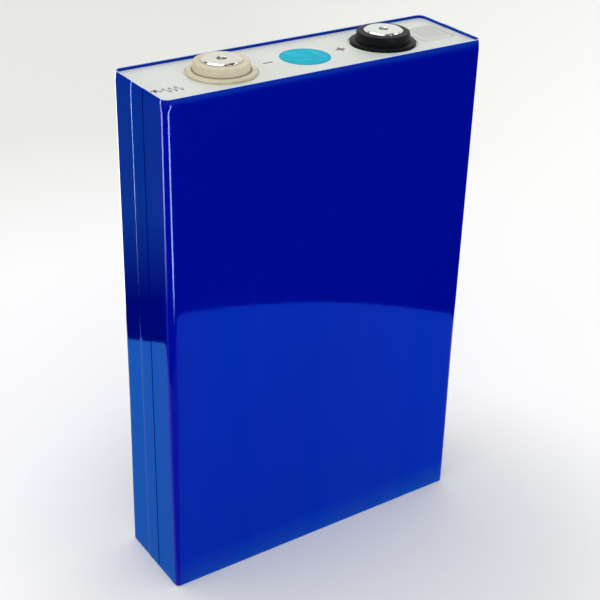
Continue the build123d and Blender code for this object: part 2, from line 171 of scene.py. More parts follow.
def rounded_outline(corners, steps=6):
    """A closed outline of (radius, height) points from (radius, height, rounding) corners."""
    points = []
    count = len(corners)
    for index, (x, z, rounding) in enumerate(corners):
        here = Vector((x, z))
        if rounding == 0:
            points.append(here)
            continue
        before = Vector(corners[index - 1][:2])
        after = Vector(corners[(index + 1) % count][:2])
        to_before, to_after = (before - here).normalized(), (after - here).normalized()
        half = to_before.angle(to_after) / 2
        reach = rounding / math.tan(half)
        centre = here + (to_before + to_after).normalized() * (rounding / math.sin(half))
        start = (here + to_before * reach - centre).normalized()
        end = (here + to_after * reach - centre).normalized()
        points += [centre + start.slerp(end, part / steps) * rounding for part in range(steps + 1)]
    return points


def lathe(outline, x, segments=144):
    """Points and faces of a closed (radius, height) outline turned round the upright axis at x."""
    points, faces = [], []
    for turn in range(segments):
        angle = 2 * math.pi * turn / segments
        for radius, height in outline:
            points.append((x + radius * math.cos(angle), radius * math.sin(angle), height))
    count = len(outline)
    for turn in range(segments):
        here, beside = turn * count, (turn + 1) % segments * count
        for part in range(count):
            following = (part + 1) % count
            faces.append((here + part, beside + part, beside + following, here + following))
    return points, faces


# ---- Node helpers --------------------------------------------------------
class Nodes:
    """Short calls for building a shader's nodes. Patterns are laid out in the coordinate place."""

    def __init__(self, tree, place):
        self.tree = tree
        self.place = place

    def feed(self, socket, value):
        """Links a node's output to socket, or sets it to a number or colour."""
        if isinstance(value, bpy.types.NodeSocket):
            self.tree.links.new(value, socket)
        elif isinstance(value, (tuple, list)) and socket.type == "RGBA":
            socket.default_value = (*value, 1.0)
        else:
            socket.default_value = value

    def node(self, kind, inputs=(), **settings):
        """A new node. Its inputs go by name or number, and its settings by keyword."""
        made = self.tree.nodes.new(kind)
        for label, value in settings.items():
            setattr(made, label, value)
        for label, value in dict(inputs).items():
            self.feed(made.inputs[label], value)
        return made

    def noise(self, size, detail, stretch=(1, 1, 1)):
        """Noise whose blobs are about size metres across, between 0 and 1."""
        mapping = self.node("ShaderNodeMapping", {"Vector": self.place, "Scale": stretch})
        inputs = {"Vector": mapping.outputs["Vector"], "Scale": 1 / size, "Detail": detail}
        return self.node("ShaderNodeTexNoise", inputs).outputs["Fac"]

    def rescale(self, value, low, high, start=0.0, end=1.0):
        """Maps value from start..end to low..high, clamped."""
        inputs = {"Value": value, "From Min": start, "From Max": end, "To Min": low, "To Max": high}
        return self.node("ShaderNodeMapRange", inputs).outputs["Result"]

    def spread(self, pattern, low, high, reach=0.2):
        """Maps the middle of a noise pattern's range, within reach of 0.5, to low..high."""
        return self.rescale(pattern, low, high, 0.5 - reach, 0.5 + reach)

    def math(self, operation, first, second=0.0):
        """One operation of the math node."""
        inputs = {0: first, 1: second}
        return self.node("ShaderNodeMath", inputs, operation=operation).outputs["Value"]

    def product(self, *values):
        """All the values multiplied together."""
        total = values[0]
        for value in values[1:]:
            total = self.math("MULTIPLY", total, value)
        return total

    def blend(self, share, first, second):
        """A colour between first and second."""
        # The Mix node's colour sockets share their names with others, so they go by number.
        inputs = {0: share, 6: first, 7: second}
        return self.node("ShaderNodeMix", inputs, data_type="RGBA").outputs[2]

    def xyz(self, vector):
        """The three parts of a vector."""
        parts = self.node("ShaderNodeSeparateXYZ", {"Vector": vector}).outputs
        return parts["X"], parts["Y"], parts["Z"]

    def radius_from(self, x):
        """Distance from the upright axis at x."""
        place_x, away_y, _ = self.xyz(self.place)
        away_x = self.math("SUBTRACT", place_x, x)
        squared = self.math("ADD", self.product(away_x, away_x), self.product(away_y, away_y))
        return self.math("SQRT", squared)


class Look(Nodes):
    """A material under construction, round a Principled shader."""

    def __init__(self, name, **values):
        self.material = bpy.data.materials.new(name)
        self.material.use_nodes = True
        tree = self.material.node_tree
        self.shader = tree.nodes["Principled BSDF"]
        self.surface = tree.nodes["Material Output"].inputs["Surface"]
        super().__init__(tree, tree.nodes.new("ShaderNodeTexCoord").outputs["Object"])
        for label, value in values.items():
            self.set(label.replace("_", " ").title().replace("Ior", "IOR"), value)

    def set(self, label, value):
        """Feeds one input of the Principled shader."""
        self.feed(self.shader.inputs[label], value)

    def bump(self, height, depth):
        """A bump whose full height is depth metres."""
        inputs = {"Height": height, "Strength": 1.0, "Distance": depth}
        normal = self.node("ShaderNodeBump", inputs).outputs["Normal"]
        self.set("Normal", normal)
        return normal


def scaled(colour, factor):
    """A colour made darker or lighter by factor."""
    return tuple(channel * factor for channel in colour)


# ---- Materials, outside --------------------------------------------------
DEEP_FILM_BLUE, FILM_BLUE = (0.0, 0.002, 0.285), (0.0, 0.005, 0.34)
SEAM_BLUE = (0.0, 0.002, 0.10)
# Painted highlight along the film's cut top edge.
EDGE_HIGHLIGHT_BLUE = (0.62, 0.72, 0.95)
MIRROR_BLUE, PALE_MIRROR_BLUE = (0.025, 0.31, 1.0), (0.055, 0.31, 1.0)
GLINT_BLUE = (0.35, 0.46, 1.0)
FILM_IOR = 1.5
MIRROR_GAIN = 3.3  # flat film mirrors this many times more than clear plastic would
MIRROR_LIMIT = 0.6
TURQUOISE, PALE_TURQUOISE, RIM_TURQUOISE = (0.0, 0.37, 0.51), (0.0, 0.48, 0.64), (0.0, 0.20, 0.27)


def seam_shadow(look):
    """1 in the narrow gap beside the upper flap's edge on the narrow sides."""
    x, y, _ = look.xyz(look.place)
    on_narrow_side = look.math("GREATER_THAN", look.math("ABSOLUTE", x), can_high.x - CORNER / 2)
    middle = FLAP_OVER_EDGE - SEAM_WIDTH / 2
    away = look.math("ABSOLUTE", look.math("SUBTRACT", y, middle))
    return look.product(on_narrow_side, look.rescale(away, 1, 0, SEAM_WIDTH / 2, SEAM_WIDTH))


def painted_edge_highlight(look):
    """1 along the film's free top edge, where a highlight is painted into its colour."""
    _, _, height = look.xyz(look.place)
    return look.rescale(height, 0, 1, FILM_TOP - 0.25 * MM, FILM_TOP - 0.17 * MM)


def film_fold(look):
    """Low on the film's flat faces and higher round its corners."""
    normal_x, normal_y, _ = look.xyz(look.node("ShaderNodeNewGeometry").outputs["Normal"])
    across = look.math("MINIMUM", look.math("ABSOLUTE", normal_x), look.math("ABSOLUTE", normal_y))
    return look.rescale(across, 0.0, 1.0, 0.03, 0.12)


def blue_film_look():
    """Glossy blue film. Flat faces mirror the surroundings in blue, and folds glint white."""
    look = Look("blue_film", ior=FILM_IOR, specular_tint=GLINT_BLUE)
    seam, edge_highlight, fold = seam_shadow(look), painted_edge_highlight(look), film_fold(look)
    sheet = look.blend(look.noise(60 * MM, 2), DEEP_FILM_BLUE, FILM_BLUE)
    wrapped = look.blend(seam, sheet, SEAM_BLUE)
    # Painted highlight along the film's cut top edge, which also turns off its specular and mirror
    # there.
    look.set("Base Color", look.blend(edge_highlight, wrapped, EDGE_HIGHLIGHT_BLUE))
    streaks = look.noise(3 * MM, 3, stretch=(1, 1, 0.04))
    sharpness = look.spread(streaks, 0.02, 0.06)
    look.set("Roughness", sharpness)
    waves = look.bump(look.noise(5 * MM, 2), 0.0010 * MM)
    open_film = look.math("SUBTRACT", 1.0, look.math("MAXIMUM", seam, edge_highlight))
    look.set("Specular IOR Level", look.product(fold, open_film, 0.5))

    haze = look.noise(14 * MM, 2, stretch=(1, 1, 0.05))
    tint = look.blend(look.spread(haze, 0, 1, 0.15), MIRROR_BLUE, PALE_MIRROR_BLUE)
    mirror_inputs = {"Color": tint, "Roughness": sharpness, "Normal": waves}
    mirror = look.node("ShaderNodeBsdfAnisotropic", mirror_inputs).outputs["BSDF"]
    grazing = look.node("ShaderNodeFresnel", {"IOR": FILM_IOR}).outputs["Fac"]
    flat = look.math("SUBTRACT", 1.0, fold)
    reflecting = look.product(grazing, MIRROR_GAIN, flat, open_film)
    share = look.math("MINIMUM", reflecting, MIRROR_LIMIT)
    inputs = {0: share, 1: look.shader.outputs["BSDF"], 2: mirror}
    look.feed(look.surface, look.node("ShaderNodeMixShader", inputs).outputs["Shader"])
    return look.material


def film_edge_look():
    """The film's cut edge, paler than its face: partly the cut plastic's own scattering, partly a
    painted highlight.
    """
    look = Look("film_cut_edge", roughness=0.4)
    nicks = look.noise(0.8 * MM, 3)
    look.set("Base Color", look.blend(nicks, (0.45, 0.55, 0.90), (0.75, 0.83, 1.0)))
    look.bump(nicks, 0.01 * MM)
    return look.material


def matt_metal_look(name, colour, roughness, metallic=1.0, grain=(0.05, 1, 1)):
    """Rolled, drawn or blasted metal: fine lines along the axis where grain is small, and a mottle."""
    look = Look(name, metallic=metallic)
    grain_lines = look.noise(0.5 * MM, 4, stretch=grain)
    cloud = look.noise(18 * MM, 3)
    look.set("Base Color", look.blend(look.spread(cloud, 0, 1, 0.15), scaled(colour, 0.94), colour))
    look.set("Roughness", look.spread(grain_lines, roughness - 0.06, roughness + 0.08))
    look.bump(grain_lines, 0.008 * MM)
    return look.material


def turned_metal_look(name, colour, x):
    """Lathe-turned aluminium: fine rings round the axis at x, painted shade in the bore and a
    bright-cut rim.
    """
    look = Look(name, metallic=1.0)
    distance = look.radius_from(x)
    ring_pitch, ring_height = 0.4 * MM, 0.0004 * MM
    rings = look.math("SINE", look.product(distance, 2 * math.pi / ring_pitch))
    patches = look.noise(3 * MM, 3)
    face = look.blend(patches, scaled(colour, 0.93), colour)
    # Painted shade inside the bore: the colour is darker there.
    bore = look.rescale(distance, 1, 0, BORE_RADIUS, BORE_RADIUS + BORE_MOUTH / 2)
    look.set("Base Color", look.blend(bore, face, scaled(colour, 0.8)))
    satin = look.spread(patches, 0.15, 0.28)
    bright_cut = look.rescale(distance, 1.0, 0.25, PAD_FACE_RADIUS, PAD_FACE_RADIUS + 0.1 * MM)
    look.set("Roughness", look.product(satin, bright_cut))
    look.bump(rings, ring_height)
    return look.material


def painted_groove_shade(look, x):
    """1 in the groove round the foot of the wall of the collar whose axis is at x, where shade is
    painted.
    """
    groove_edge = COLLAR_RADIUS + GROOVE_WIDTH
    _, _, height = look.xyz(look.place)
    low = look.rescale(height, 1, 0, FLANGE_TOP, FLANGE_TOP + 0.45 * MM)
    near = look.rescale(look.radius_from(x), 1, 0, groove_edge, groove_edge + 0.3 * MM)
    return look.product(low, near)


def moulded_look(name, light, dark, roughness, collar_x=None, **values):
    """Moulded plastic or rubber: fine spark-eroded texture and slow colour drift. A collar, whose axis
    is at collar_x, also has painted shade in its groove."""
    look = Look(name, **values)
    drift = look.noise(7 * MM, 3)
    fine = look.noise(0.25 * MM, 4)
    colour = look.blend(look.spread(drift, 0, 1), dark, light)
    if collar_x is not None:
        # Painted shade in the groove round the collar wall's foot.
        colour = look.blend(painted_groove_shade(look, collar_x), colour, scaled(dark, 0.45))
    look.set("Base Color", colour)
    look.set("Roughness", look.spread(fine, roughness - 0.08, roughness + 0.1))
    look.bump(fine, 0.004 * MM)
    return look.material


def vent_film_look():
    """Turquoise film: patchy, darker at its stuck-down rim, with a satin sheen."""
    look = Look("turquoise_film", ior=1.45, specular_ior_level=0.02)
    radius = vent_high.x
    patches = look.rescale(look.noise(3.5 * MM, 3), 0, 1, 0.35, 0.68)
    face = look.blend(patches, TURQUOISE, PALE_TURQUOISE)
    rim = look.rescale(look.radius_from(0.0), 0, 0.75, radius - 0.7 * MM, radius)
    look.set("Base Color", look.blend(rim, face, RIM_TURQUOISE))
    look.set("Roughness", look.rescale(look.noise(1 * MM, 2), 0.16, 0.34))
    look.bump(look.noise(0.6 * MM, 3), 0.004 * MM)
    return look.material


def label_look(sheet, patch, edge_shadow):
    """A clear-coated label with a plain grey patch where a code would be printed, and a painted shadow
    line along its back and its outer end."""
    look = Look("label_film", roughness=0.35)
    x, y, _ = look.xyz(look.place)
    soft, edge_shadow_width = 0.1 * MM, 0.35 * MM
    at_end = look.rescale(x, 0, 1, label_high.x - edge_shadow_width - soft, label_high.x - edge_shadow_width)
    at_back = look.rescale(y, 0, 1, label_high.y - edge_shadow_width - soft, label_high.y - edge_shadow_width)
    patch_low = label_low.xy + Vector((3.0 * MM, 2.4 * MM))
    patch_high = label_high.xy - Vector((1.5 * MM, 1.6 * MM))
    inside = look.product(
        look.rescale(x, 0, 1, patch_low.x - soft, patch_low.x + soft),
        look.rescale(x, 1, 0, patch_high.x - soft, patch_high.x + soft),
        look.rescale(y, 0, 1, patch_low.y - soft, patch_low.y + soft),
        look.rescale(y, 1, 0, patch_high.y - soft, patch_high.y + soft),
    )
    mottle = look.noise(2.5 * MM, 3)
    ground = look.blend(mottle, scaled(sheet, 0.96), sheet)
    printed = look.blend(inside, ground, patch)
    # Painted shadow line along the label's back and outer end.
    look.set("Base Color", look.blend(look.math("MAXIMUM", at_end, at_back), printed, edge_shadow))
    look.bump(mottle, 0.004 * MM)
    return look.material


def ink_look(name, colour):
    """Printed ink with slightly thin patches."""
    look = Look(name)
    thin = look.rescale(look.noise(0.35 * MM, 3), 0, 1, 0.55, 0.95)
    worn = tuple(channel * 0.5 + 0.08 for channel in colour)
    look.set("Base Color", look.blend(thin, colour, worn))
    look.set("Roughness", look.rescale(thin, 0.4, 0.65))
    look.bump(thin, 0.003 * MM)
    return look.material


# ---- Materials, inside ---------------------------------------------------
def coating_look(name, colour, grain):
    """A calendered electrode coating: fine black or grey grains and faint streaks along the web."""
    look = Look(name)
    grains = look.noise(grain, 5)
    streaks = look.noise(6 * MM, 2, stretch=(0.1, 0.1, 1))
    tone = look.math("ADD", look.product(grains, 0.6), look.product(streaks, 0.4))
    look.set("Base Color", look.blend(tone, scaled(colour, 0.6), scaled(colour, 1.5)))
    look.set("Roughness", look.rescale(grains, 0.55, 0.85))
    look.bump(grains, 0.01 * MM)
    return look.material


def sheet_look(name, light, dark, roughness):
    """Thin plastic sheet: long soft wrinkles, and pores or dust that break up its sheen."""
    look = Look(name)
    wrinkles = look.noise(9 * MM, 2, stretch=(1, 1, 0.25))
    pores = look.noise(0.3 * MM, 4)
    look.set("Base Color", look.blend(look.spread(wrinkles, 0, 1), dark, light))
    look.set("Roughness", look.spread(pores, roughness - 0.1, roughness + 0.12))
    relief = look.math("ADD", look.product(wrinkles, 0.8), look.product(pores, 0.2))
    look.bump(relief, 0.03 * MM)
    return look.material


# ---- Film ----------------------------------------------------------------
FOLD_SHARPENING = 1.3 * MM  # the folded film makes the corner this much sharper at the base
FOLD_HEIGHT = 80 * MM  # and the sharpening fades out up to here
SHOULDER_Z = LID_Z - 2.2 * MM  # the can and film narrow above this
SHOULDER_TAPER = math.radians(7.0)
SHOULDER_BEND = 1.7 * MM  # the bend at the shoulder spreads this far up and down
FLAP_RAMP = 0.6 * MM  # past the lower flap's edge, the upper one drops to the can over this width
SEAM_DEPTH = 0.4 * FILM
BASE_ROUNDING = 0.7 * MM
FILM_SHEET = 0.1 * MM  # modelled thickness, leaving room for ripples outside the can


def flap_offset(y):
    """How far the film's surface on a narrow side stands out from its single-layer surface."""
    if y > FLAP_UNDER_EDGE:
        return FILM * smoothstep((FLAP_UNDER_EDGE + FLAP_RAMP - y) / FLAP_RAMP)
    if y >= FLAP_OVER_EDGE:
        return FILM
    if y > FLAP_OVER_EDGE - SEAM_WIDTH:
        return -SEAM_DEPTH
    return 0.0


def flap_stops():
    """Where the outline needs a point along a narrow side to draw the flaps crisply."""
    sliver = 0.01 * MM
    ramp_steps = 8
    stops = [FLAP_UNDER_EDGE + FLAP_RAMP * part / ramp_steps for part in range(ramp_steps + 1)]
    seam_end = FLAP_OVER_EDGE - SEAM_WIDTH
    return stops + [FLAP_OVER_EDGE, FLAP_OVER_EDGE - sliver, seam_end + sliver, seam_end]


def film_outline():
    """The film's outline round the can as (corner-centre x, y, outward x, y, flap offset)."""
    half_x = can_high.x + FILM
    inner_x, inner_y = half_x - CORNER, film_high.y - CORNER
    stops = flap_stops()
    side_steps = 12
    clearance = 0.3 * MM
    square = 0.999  # a direction this close to x points straight out of a narrow side
    plain = [inner_y * part / side_steps for part in range(1 - side_steps, side_steps)]
    stops = sorted([y for y in plain if all(abs(y - stop) > clearance for stop in stops)] + stops)
    samples = []
    for x, y, out_x, out_y in rounded_rectangle(half_x, film_high.y, CORNER, 2 * MM, 16):
        on_narrow_side = abs(out_x) > square and abs(y) < inner_y - clearance
        if not on_narrow_side:
            samples.append((x, y, out_x, out_y, 0.0))
    outline = []
    for index, sample in enumerate(samples):
        outline.append(sample)
        _, y_here, out_x, _, _ = sample
        _, y_next, _, _, _ = samples[(index + 1) % len(samples)]
        if out_x > square and y_here < 0 < y_next:
            outline += [(inner_x, y, 1.0, 0.0, flap_offset(y)) for y in stops]
        if out_x < -square and y_next < 0 < y_here:
            outline += [(-inner_x, y, -1.0, 0.0, flap_offset(y)) for y in reversed(stops)]
    return outline


def film_rows():
    """(height, inset) of each ring of the film from the base up."""
    base_steps, straight_steps, bend_steps, lean_steps = 6, 70, 12, 5
    rows = []
    for part in range(base_steps + 1):
        angle = math.pi / 2 * part / base_steps
        rows.append((BASE_ROUNDING * (1 - math.cos(angle)), BASE_ROUNDING * (1 - math.sin(angle))))
    bend_foot, bend_top = SHOULDER_Z - SHOULDER_BEND, SHOULDER_Z + SHOULDER_BEND
    for part in range(1, straight_steps + 1):
        rows.append((BASE_ROUNDING + (bend_foot - BASE_ROUNDING) * part / straight_steps, 0.0))
    slope = math.tan(SHOULDER_TAPER)
    for part in range(1, bend_steps + 1):
        share = part / bend_steps
        rows.append((bend_foot + (bend_top - bend_foot) * share, slope * SHOULDER_BEND * share * share))
    for part in range(1, lean_steps + 1):
        z = bend_top + (FILM_TOP - bend_top) * part / lean_steps
        rows.append((z, (z - SHOULDER_Z) * slope))
    return rows


def film_ripple(x, y, z):
    """How far the film is drawn in from its nominal surface: broad and fine ripples drawn out along
    the height, and a wave in the free edge above the lid."""
    broad = noise.noise(Vector((x, y, z * 0.35)) / (22 * MM)) + 1
    fine = noise.noise(Vector((x, y, z * 0.2)) / (7 * MM)) + 1
    edge_wave = noise.noise(Vector((x, y, 0)) / (9 * MM)) + 1
    free_from, free_over = LID_Z - 0.5 * MM, 1.5 * MM
    free = smoothstep((z - free_from) / free_over)
    broad_depth, fine_depth, edge_depth = 0.016 * MM, 0.003 * MM, 0.05 * MM
    return broad_depth * broad + fine_depth * fine + edge_depth * edge_wave * free


def fold_sharpening(z):
    """How much smaller the film's corner radius is at this height: the folded film comes to a
    sharper corner near the base."""
    return FOLD_SHARPENING * smoothstep((FOLD_HEIGHT - z) / FOLD_HEIGHT)


def film_point(sample, z, inset, flap_share):
    """Where one sample of the film's outline lies at height z."""
    x, y, out_x, out_y, offset = sample
    at_corner = abs(x) + abs(y) > can_high.x + FILM + film_high.y - 2 * CORNER - TINY
    sharper = fold_sharpening(z) if at_corner else 0.0
    reach = CORNER - inset + offset * flap_share - sharper
    place_x = x + math.copysign(sharper, x) + out_x * reach
    place_y = y + math.copysign(sharper, y) + out_y * reach
    ripple = film_ripple(place_x, place_y, z) if z > BASE_ROUNDING else 0.0
    return place_x - out_x * ripple, place_y - out_y * ripple, z


def build_film():
    """The blue wrap: one sheet with overlapping side flaps, closed below and open above the lid."""
    outline = film_outline()
    rows = film_rows()
    flap_foot, flap_grow = 0.2 * MM, 1.2 * MM
    points = []
    for z, inset in rows:
        flap_share = min(1.0, max(0.0, (z - flap_foot) / flap_grow))
        points += [film_point(sample, z, inset, flap_share) for sample in outline]
    faces = grid_faces(len(rows), len(outline), closed=True)
    faces.append(tuple(reversed(range(len(outline)))))
    stands_for = ("insulation_film",)
    film = add_piece("film_wrap", points, faces, blue_film_look(), stands_for, 30)
    film.data.materials.append(film_edge_look())
    wall = film.modifiers.new("wall", "SOLIDIFY")
    wall.thickness = FILM_SHEET
    wall.offset = -1
    wall.use_even_offset = True
    wall.material_offset_rim = 1


# ---- Lid -----------------------------------------------------------------
def build_weld_bead():
    """The laser weld that joins lid and can: a low bead with overlapping crescent ripples."""
    half_width, crown_height, ripple_height = 0.36 * MM, 0.09 * MM, 0.03 * MM
    ripple_pitch, ripple_lag = 0.55 * MM, 0.6
    sunk_edge = 0.01 * MM
    corner = 2.15 * MM
    samples = rounded_rectangle(lid_high.x, lid_high.y, corner, 0.25 * MM)
    across = [-1.0, -0.75, -0.4, 0.0, 0.4, 0.75, 1.0]  # shares of the half width
    rows = [[] for _ in across]
    travelled = 0.0
    previous = None
    for x, y, out_x, out_y in samples:
        here = Vector((x + out_x * corner, y + out_y * corner))
        travelled += (here - previous).length if previous else 0.0
        previous = here
        for row, offset in zip(rows, across):
            crown = 1 - offset * offset
            phase = (travelled / ripple_pitch + abs(offset) * ripple_lag) % 1.0
            height = crown * (crown_height + ripple_height * (1 - phase)) if crown else -sunk_edge
            reach = offset * half_width
            row.append((here.x + out_x * reach, here.y + out_y * reach, LID_Z + height))
    points = [point for row in reversed(rows) for point in row]
    faces = grid_faces(len(rows), len(samples), closed=True)
    look = matt_metal_look("weld_metal", (0.80, 0.82, 0.80), 0.4, metallic=0.5)
    add_piece("lid_weld_bead", points, faces, look, (), 60)


def vent_film_height(x, y, share):
    """Height of the vent film above its stuck-down rim, where share is 0 in the middle and 1 at the
    rim. It bulges a little, with sharp creases and a fine pucker."""
    crease_size, pucker_size = 4.5 * MM, 2.0 * MM
    bulge, crease_depth, pucker_height = 0.13 * MM, 0.22 * MM, 0.04 * MM
    stuck_share = 0.2
    crease = abs(noise.noise(Vector((x, y, 0)) / crease_size))
    pucker = noise.noise(Vector((x, y, 2 * pucker_size)) / pucker_size)
    loose = smoothstep((1 - share) / stuck_share)
    return max(0.0, (bulge - crease_depth * crease + pucker_height * pucker) * loose)


def build_vent_cover():
    """The coloured film disc over the vent, lightly creased and stuck down at its rim."""
    radius = vent_high.x
    rings, spokes = 44, 120
    clear, sunk = 0.01 * MM, 0.02 * MM
    points = []
    for ring in range(rings + 1):
        share = ring / rings
        for spoke in range(spokes):
            angle = 2 * math.pi * spoke / spokes
            x, y = radius * share * math.cos(angle), radius * share * math.sin(angle)
            points.append((x, y, vent_high.z + clear + vent_film_height(x, y, share)))
    faces = flipped(grid_faces(rings + 1, spokes, closed=True))
    foot = len(points)
    rim = foot - spokes
    points += [(x, y, LID_Z - sunk) for x, y, _ in points[rim:]]
    for spoke in range(spokes):
        beside = (spoke + 1) % spokes
        faces.append((rim + spoke, foot + spoke, foot + beside, rim + beside))
    look = vent_film_look()
    add_piece("vent_cover_film", points, faces, look, ("vent_cover",), 50)


# ---- Terminals -----------------------------------------------------------
COLLAR_RADIUS = 9.7 * MM
COLLAR_DRAFT = 0.08 * MM  # the wall is this much wider at its foot than at its top
GROOVE_WIDTH, GROOVE_DEPTH = 0.45 * MM, 0.22 * MM  # the moulded groove round the wall's foot
CUP_RADIUS = 7.1 * MM
CUP_FLOOR = LID_Z + 1.1 * MM
FLANGE_TOP = LID_Z + 1.12 * MM
FLANGE_EDGE_TOP = LID_Z + 0.78 * MM
SEAT_FLOOR = LID_Z - 0.4 * MM
NECK_RADIUS = 5.95 * MM
POST_CLEARANCE_RADIUS = 4.05 * MM
PAD_CHAMFER_HEIGHT = 0.42 * MM
PAD_RIM_STEP = 0.05 * MM


def build_collar(name, node, look):
    """A moulded collar: sloped flange, drafted wall, cup for the pad, neck through the lid."""
    low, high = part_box(node)
    x = middle_x(node)
    flange = high.x - x
    tiny, soft, round_ = 0.1 * MM, 0.4 * MM, 0.5 * MM
    outline = rounded_outline(
        [
            (POST_CLEARANCE_RADIUS, low.z, tiny),
            (NECK_RADIUS, low.z, tiny),
            (NECK_RADIUS, SEAT_FLOOR, 0),
            (flange, SEAT_FLOOR, tiny),
            (flange, FLANGE_EDGE_TOP, soft),
            (COLLAR_RADIUS + GROOVE_WIDTH, FLANGE_TOP, tiny),
            (COLLAR_RADIUS + COLLAR_DRAFT, FLANGE_TOP - GROOVE_DEPTH, tiny),
            (COLLAR_RADIUS - COLLAR_DRAFT, high.z, round_),
            (CUP_RADIUS, high.z, tiny),
            (CUP_RADIUS, CUP_FLOOR, tiny),
            (POST_CLEARANCE_RADIUS, CUP_FLOOR, tiny),
        ]
    )
    points, faces = lathe(outline, x, 160)
    add_piece(name, points, faces, look, (node,), 50)


def bore_wall(radius, top, foot):
    """A bore's wall from its mouth down, with shallow rings like the marks of a drill."""
    pitch, depth = 0.5 * MM, 0.07 * MM
    points = [(radius, top, 0)]
    z = top - pitch
    while z > foot + pitch:
        points += [(radius - depth, z + pitch / 4, 0), (radius, z, 0)]
        z -= pitch
    return points + [(radius, foot, 0)]


def build_pad(name, node, colour):
    """A turned weld pad: flat face raised a little inside its rim, chamfer, and a blind bore."""
    low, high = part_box(node)
    x = middle_x(node)
    radius = high.x - x
    top, chamfer_foot = high.z, high.z - PAD_CHAMFER_HEIGHT
    bore_floor = top - BORE_DEPTH
    socket_top = bore_floor - 0.4 * MM
    post_radius = POST_CLEARANCE_RADIUS - 0.025 * MM
    axis_radius = 0.0001 * MM
    rim_edge, face_edge = PAD_FACE_RADIUS + 0.16 * MM, PAD_FACE_RADIUS - 0.06 * MM
    edge, fine = 0.1 * MM, 0.03 * MM
    outline = rounded_outline(
        [
            (post_radius, low.z, 0),
            (radius, low.z, edge),
            (radius, chamfer_foot, edge),
            (rim_edge, top - PAD_RIM_STEP, edge),
            (PAD_FACE_RADIUS, top - PAD_RIM_STEP, fine / 2),
            (face_edge, top, fine),
            (BORE_RADIUS + BORE_MOUTH, top, edge),
            *bore_wall(BORE_RADIUS, top - BORE_MOUTH, bore_floor),
            (axis_radius, bore_floor, 0),
            (axis_radius, socket_top, 0),
            (post_radius, socket_top, 0),
        ],
        4,
    )
    points, faces = lathe(outline, x)
    look = turned_metal_look(f"{name}_metal", colour, x)
    add_piece(name, points, faces, look, (node,), 30)


# ---- Marks ---------------------------------------------------------------
def bar_outline(length, width):
    """A minus sign."""
    reach, half = length / 2, width / 2
    return [(-reach, -half), (reach, -half), (reach, half), (-reach, half)]


def plus_outline(length, width):
    """A plus sign, as one arm turned four times."""
    reach, half = length / 2, width / 2
    quarter = [(half, -reach), (half, -half), (reach, -half)]
    outline = []
    for turn in range(4):
        angle = math.pi / 2 * turn
        cos, sin = math.cos(angle), math.sin(angle)
        outline += [(x * cos - y * sin, x * sin + y * cos) for x, y in quarter]
    return outline


def stroke_outline(path, width):
    """The outline of a pen stroke of one width along path."""
    left, right = [], []
    for index, (x, y) in enumerate(path):
        before = Vector(path[max(0, index - 1)])
        after = Vector(path[min(len(path) - 1, index + 1)])
        along = (after - before).normalized()
        left.append((x - along.y * width / 2, y + along.x * width / 2))
        right.append((x + along.y * width / 2, y - along.x * width / 2))
    return right + left[::-1]


def build_print(name, outline, x, y, look):
    """A thin printed shape lying on the lid."""
    thickness = 0.02 * MM
    count = len(outline)
    points = [(x + px, y + py, LID_Z) for px, py in outline]
    points += [(x + px, y + py, LID_Z + thickness) for px, py in outline]
    faces = [tuple(reversed(range(count))), tuple(range(count, 2 * count))]
    for part in range(count):
        beside = (part + 1) % count
        faces.append((part, beside, count + beside, count + part))
    add_piece(name, points, faces, look)


def build_pen_strokes(look):
    """Two faint inspection strokes near the negative end: plain waves, not writing."""
    steps, width = 48, 0.34 * MM
    # Each stroke's name, place (x, y), length, height and number of waves.
    strokes = (
        ("inspection_stroke_long", -55.6 * MM, -6.6 * MM, 6.6 * MM, 2.1 * MM, 3),
        ("inspection_stroke_short", -61.2 * MM, -5.8 * MM, 3.0 * MM, 1.2 * MM, 2),
    )
    for name, x, y, length, height, waves in strokes:
        path = []
        for step in range(steps + 1):
            share = step / steps
            path.append((length * (share - 0.5), height * math.sin(2 * math.pi * waves * share)))
        build_print(name, stroke_outline(path, width), x, y, look)


# ---- Stage ---------------------------------------------------------------
TURNTABLE = 0.208  # radius of the bright disc that the film reflects
SURROUND = 12.0  # outer radius of what it reflects beyond that
CARD_HEIGHT = 0.0002  # the reflection cards lie this far above the floor
WHITE = (1.0, 1.0, 1.0)
# Paper colours, with painted shadow near the cell's foot and painted light far away.
NEAR_PAPER, SHADED_PAPER = (0.97, 0.97, 0.97), (0.85, 0.85, 0.84)
SUNNY_PAPER, SHADY_FAR_PAPER = (0.99, 0.98, 0.96), (0.80, 0.80, 0.77)
PAPER_FIBRE = (0.7, 0.7, 0.7)
BACKDROP = 0.76  # brightness of the background as the camera sees it

# Azimuths in degrees round the cell, 0 in front and 90 at the positive end.
SUNNY_AZIMUTH = 95
ROOM_AZIMUTH, ROOM_HALF_WIDTH = -150, 20
FRONT_FOLD_AZIMUTH, FRONT_FOLD_SWING = -24.0, 34.0
SIDE_FOLD_AZIMUTH, SIDE_FOLD_SWING = -104.0, 26.0
FLAP_FOLD_AZIMUTH = -172.0


def ring_mesh(name, radii, spokes, height=0.0):
    """A flat disc or ring made of concentric rings of faces, facing up."""
    points = []
    for radius in radii:
        for spoke in range(spokes):
            angle = 2 * math.pi * spoke / spokes
            points.append((radius * math.cos(angle), radius * math.sin(angle), height))
    return add_mesh(name, points, flipped(grid_faces(len(radii), spokes, closed=True)))


def azimuth_of(nodes):
    """Angle of a place round the cell in degrees: 0 in front, 90 at the positive end."""
    x, y, _ = nodes.xyz(nodes.place)
    return nodes.product(nodes.math("ARCTAN2", x, nodes.product(y, -1)), 180 / math.pi)


def towards(nodes, azimuth, middle):
    """1 at the azimuth middle, -1 opposite it."""
    turned = nodes.product(nodes.math("SUBTRACT", azimuth, middle), math.pi / 180)
    return nodes.math("COSINE", turned)


